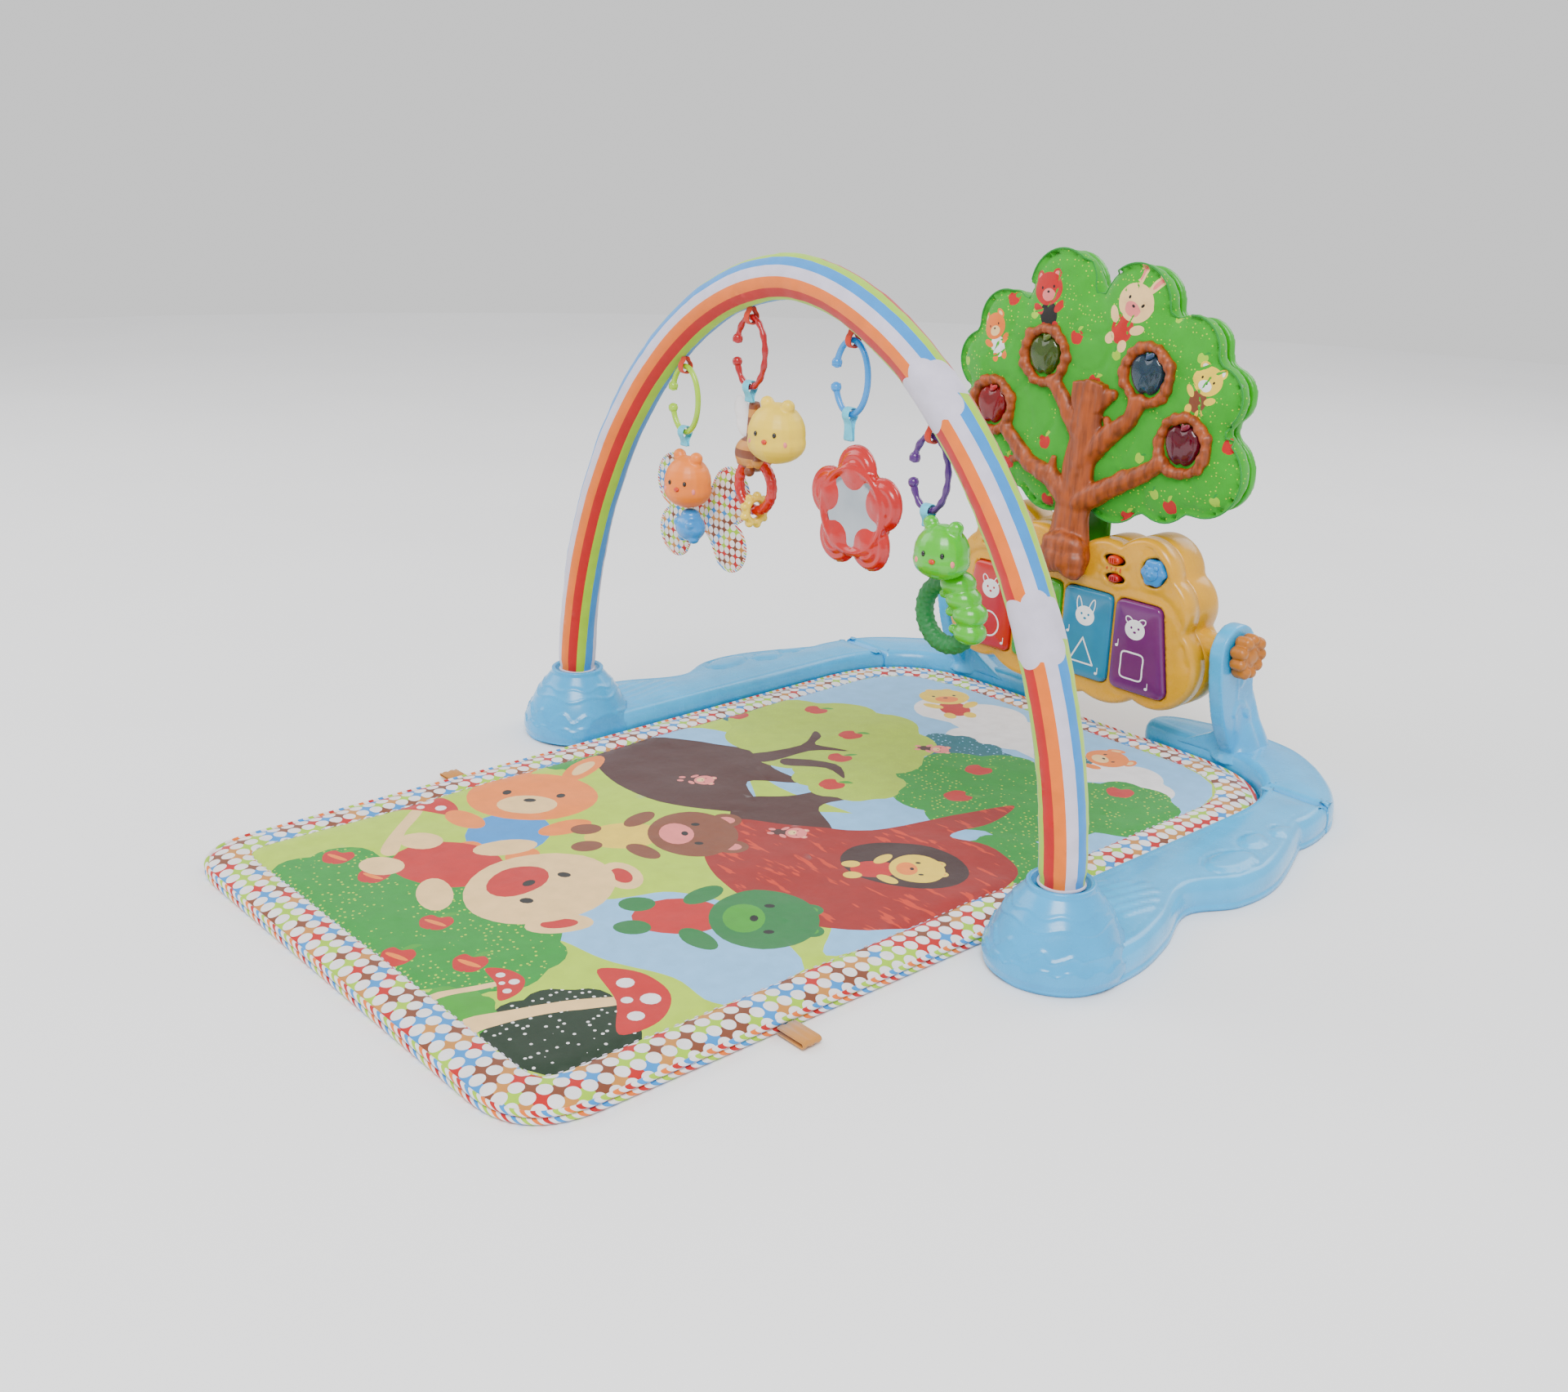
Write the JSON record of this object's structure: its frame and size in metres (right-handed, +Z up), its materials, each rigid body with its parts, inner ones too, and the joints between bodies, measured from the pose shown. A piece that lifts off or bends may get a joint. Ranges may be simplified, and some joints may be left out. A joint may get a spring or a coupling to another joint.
{
  "type": "activity play gym",
  "caption": "Padded floor mat between two base wings, with a soft striped arch of hanging toys and a tilting toy piano that carries a padded tree.",
  "frame": {"origin": "on the floor, below the centre of the whole gym", "axes": "+X to the right seen from the foot end, +Y towards the head end with the piano, +Z up"},
  "size_m": [0.688, 0.8798, 0.4666],
  "materials": {
    "base_plastic": "gloss",
    "casing_plastic": "gloss",
    "bark_plastic": "satin",
    "knob_plastic": "satin",
    "tube_plastic": "satin",
    "canopy_fabric": "matte",
    "back_plastic": "matte",
    "mat_fabric": "matte",
    "sleeve_fabric": "matte",
    "tab_ribbon": "matte",
    "loop_fabric": "matte",
    "ribbon_fabric": "matte",
    "link_lime": "gloss",
    "link_crimson": "gloss",
    "link_blue": "gloss",
    "link_violet": "gloss",
    "head_orange": "satin",
    "belly_blue": "gloss",
    "wing_fabric": "matte",
    "head_yellow": "satin",
    "body_tan": "satin",
    "wing_white": "satin",
    "grub_green": "gloss",
    "flower_red": "gloss",
    "mirror_film": "polished",
    "ring_red": "gloss",
    "ring_green": "satin",
    "bead_yellow": "gloss",
    "key_red": "gloss",
    "key_green": "gloss",
    "key_teal": "gloss",
    "key_purple": "gloss",
    "button_blue": "gloss",
    "switch_orange": "gloss",
    "switch_red": "gloss",
    "lens_red": "gloss",
    "lens_olive": "gloss",
    "lens_blue": "gloss",
    "lens_magenta": "gloss",
    "steel": "satin",
    "board": "matte"
  },
  "bodies": {
    "base": {"base_right_wing": "base_plastic", "base_left_wing": "base_plastic", "base_right_upright": "base_plastic", "base_left_upright": "base_plastic", "play_mat": "mat_fabric", "mat_tab_right": "tab_ribbon", "mat_tab_left": "tab_ribbon"},
    "arch": {"arch_tube_right": "tube_plastic", "arch_tube_left": "tube_plastic", "arch_joiner": "tube_plastic", "arch_sleeve": "sleeve_fabric", "toy_loop_1": "loop_fabric", "toy_loop_2": "loop_fabric", "toy_loop_3": "loop_fabric", "toy_loop_4": "loop_fabric"},
    "piano": {"piano_front_shell": "casing_plastic", "piano_rear_shell": "casing_plastic", "battery_door": "casing_plastic", "battery_door_screw": "steel", "circuit_board": "board", "speaker": "steel", "tree_trunk": "bark_plastic", "tree_back_shell": "back_plastic", "tree_canopy": "canopy_fabric", "apple_lens_red": "lens_red", "apple_lens_olive": "lens_olive", "apple_lens_blue": "lens_blue", "apple_lens_magenta": "lens_magenta"},
    "bee_bead": {"bee_gear_bead": "bead_yellow"},
    "butterfly_link": {"link_1": "link_lime"},
    "butterfly": {"ribbon_1": "ribbon_fabric", "butterfly_head": "head_orange", "butterfly_belly": "belly_blue", "butterfly_wings": "wing_fabric"},
    "bee_link": {"link_2": "link_crimson"},
    "bee": {"ribbon_2": "ribbon_fabric", "bee_head": "head_yellow", "bee_body": "body_tan", "bee_wing": "wing_white", "bee_ring": "ring_red"},
    "flower_link": {"link_3": "link_blue"},
    "flower": {"ribbon_3": "ribbon_fabric", "flower_frame": "flower_red", "flower_mirror": "mirror_film"},
    "grub_link": {"link_4": "link_violet"},
    "grub": {"ribbon_4": "ribbon_fabric", "grub_head": "grub_green", "grub_body": "grub_green", "teether_ring": "ring_green"},
    "key_red": {"key_red": "key_red"},
    "key_green": {"key_green": "key_green"},
    "key_blue": {"key_blue": "key_teal"},
    "key_purple": {"key_purple": "key_purple"},
    "music_button": {"music_button": "button_blue"},
    "volume_switch": {"volume_switch": "switch_orange"},
    "mode_switch": {"mode_switch": "switch_red"},
    "pivot_knob_right": {"pivot_knob_right": "knob_plastic"},
    "pivot_knob_left": {"pivot_knob_left": "knob_plastic"}
  },
  "joints": [
    {"name": "arch_lift_out", "type": "slide", "parent": "base", "child": "arch", "axis": [0, 0, 1], "range_m": [0, 0.05]},
    {"name": "piano_tilt", "type": "hinge", "parent": "base", "child": "piano", "pos_m": [0, 0.364, 0.123], "axis": [1, 0, 0], "range_deg": [-25, 10]},
    {"name": "butterfly_link_swing", "type": "hinge", "parent": "arch", "child": "butterfly_link", "pos_m": [-0.132, -0.03, 0.36838], "axis": [1, 0, 0], "range_deg": [-25, 25]},
    {"name": "butterfly_swing", "type": "hinge", "parent": "butterfly_link", "child": "butterfly", "pos_m": [-0.132, -0.03, 0.31438], "axis": [1, 0, 0], "range_deg": [-30, 30]},
    {"name": "bee_link_swing", "type": "hinge", "parent": "arch", "child": "bee_link", "pos_m": [-0.05, -0.03, 0.41619], "axis": [1, 0, 0], "range_deg": [-25, 25]},
    {"name": "bee_swing", "type": "hinge", "parent": "bee_link", "child": "bee", "pos_m": [-0.05, -0.03, 0.36219], "axis": [1, 0, 0], "range_deg": [-30, 30]},
    {"name": "flower_link_swing", "type": "hinge", "parent": "arch", "child": "flower_link", "pos_m": [0.064, -0.03, 0.41086], "axis": [1, 0, 0], "range_deg": [-25, 25]},
    {"name": "flower_swing", "type": "hinge", "parent": "flower_link", "child": "flower", "pos_m": [0.064, -0.03, 0.35686], "axis": [1, 0, 0], "range_deg": [-30, 30]},
    {"name": "grub_link_swing", "type": "hinge", "parent": "arch", "child": "grub_link", "pos_m": [0.148, -0.03, 0.35396], "axis": [1, 0, 0], "range_deg": [-25, 25]},
    {"name": "grub_swing", "type": "hinge", "parent": "grub_link", "child": "grub", "pos_m": [0.148, -0.03, 0.29996], "axis": [1, 0, 0], "range_deg": [-30, 30]},
    {"name": "bee_bead_slide", "type": "hinge", "parent": "bee", "child": "bee_bead", "pos_m": [-0.045, -0.0263, 0.28379], "axis": [0, 1, 0], "range_deg": [-50, 50]},
    {"name": "key_red_press", "type": "slide", "parent": "piano", "child": "key_red", "axis": [0, 1, 0], "range_m": [0, 0.0025], "stiffness_N_per_m": 450},
    {"name": "key_green_press", "type": "slide", "parent": "piano", "child": "key_green", "axis": [0, 1, 0], "range_m": [0, 0.0025], "stiffness_N_per_m": 450},
    {"name": "key_blue_press", "type": "slide", "parent": "piano", "child": "key_blue", "axis": [0, 1, 0], "range_m": [0, 0.0025], "stiffness_N_per_m": 450},
    {"name": "key_purple_press", "type": "slide", "parent": "piano", "child": "key_purple", "axis": [0, 1, 0], "range_m": [0, 0.0025], "stiffness_N_per_m": 450},
    {"name": "music_button_press", "type": "slide", "parent": "piano", "child": "music_button", "axis": [0, 1, 0], "range_m": [0, 0.002], "stiffness_N_per_m": 300},
    {"name": "volume_switch_slide", "type": "slide", "parent": "piano", "child": "volume_switch", "axis": [1, 0, 0], "range_m": [-0.004, 0.004]},
    {"name": "mode_switch_slide", "type": "slide", "parent": "piano", "child": "mode_switch", "axis": [1, 0, 0], "range_m": [-0.004, 0.004]},
    {"name": "pivot_knob_right_turn", "type": "hinge", "parent": "base", "child": "pivot_knob_right", "pos_m": [0, 0.364, 0.123], "axis": [1, 0, 0], "range_deg": [-90, 90]},
    {"name": "pivot_knob_left_turn", "type": "hinge", "parent": "base", "child": "pivot_knob_left", "pos_m": [0, 0.364, 0.123], "axis": [1, 0, 0], "range_deg": [-90, 90]}
  ]
}
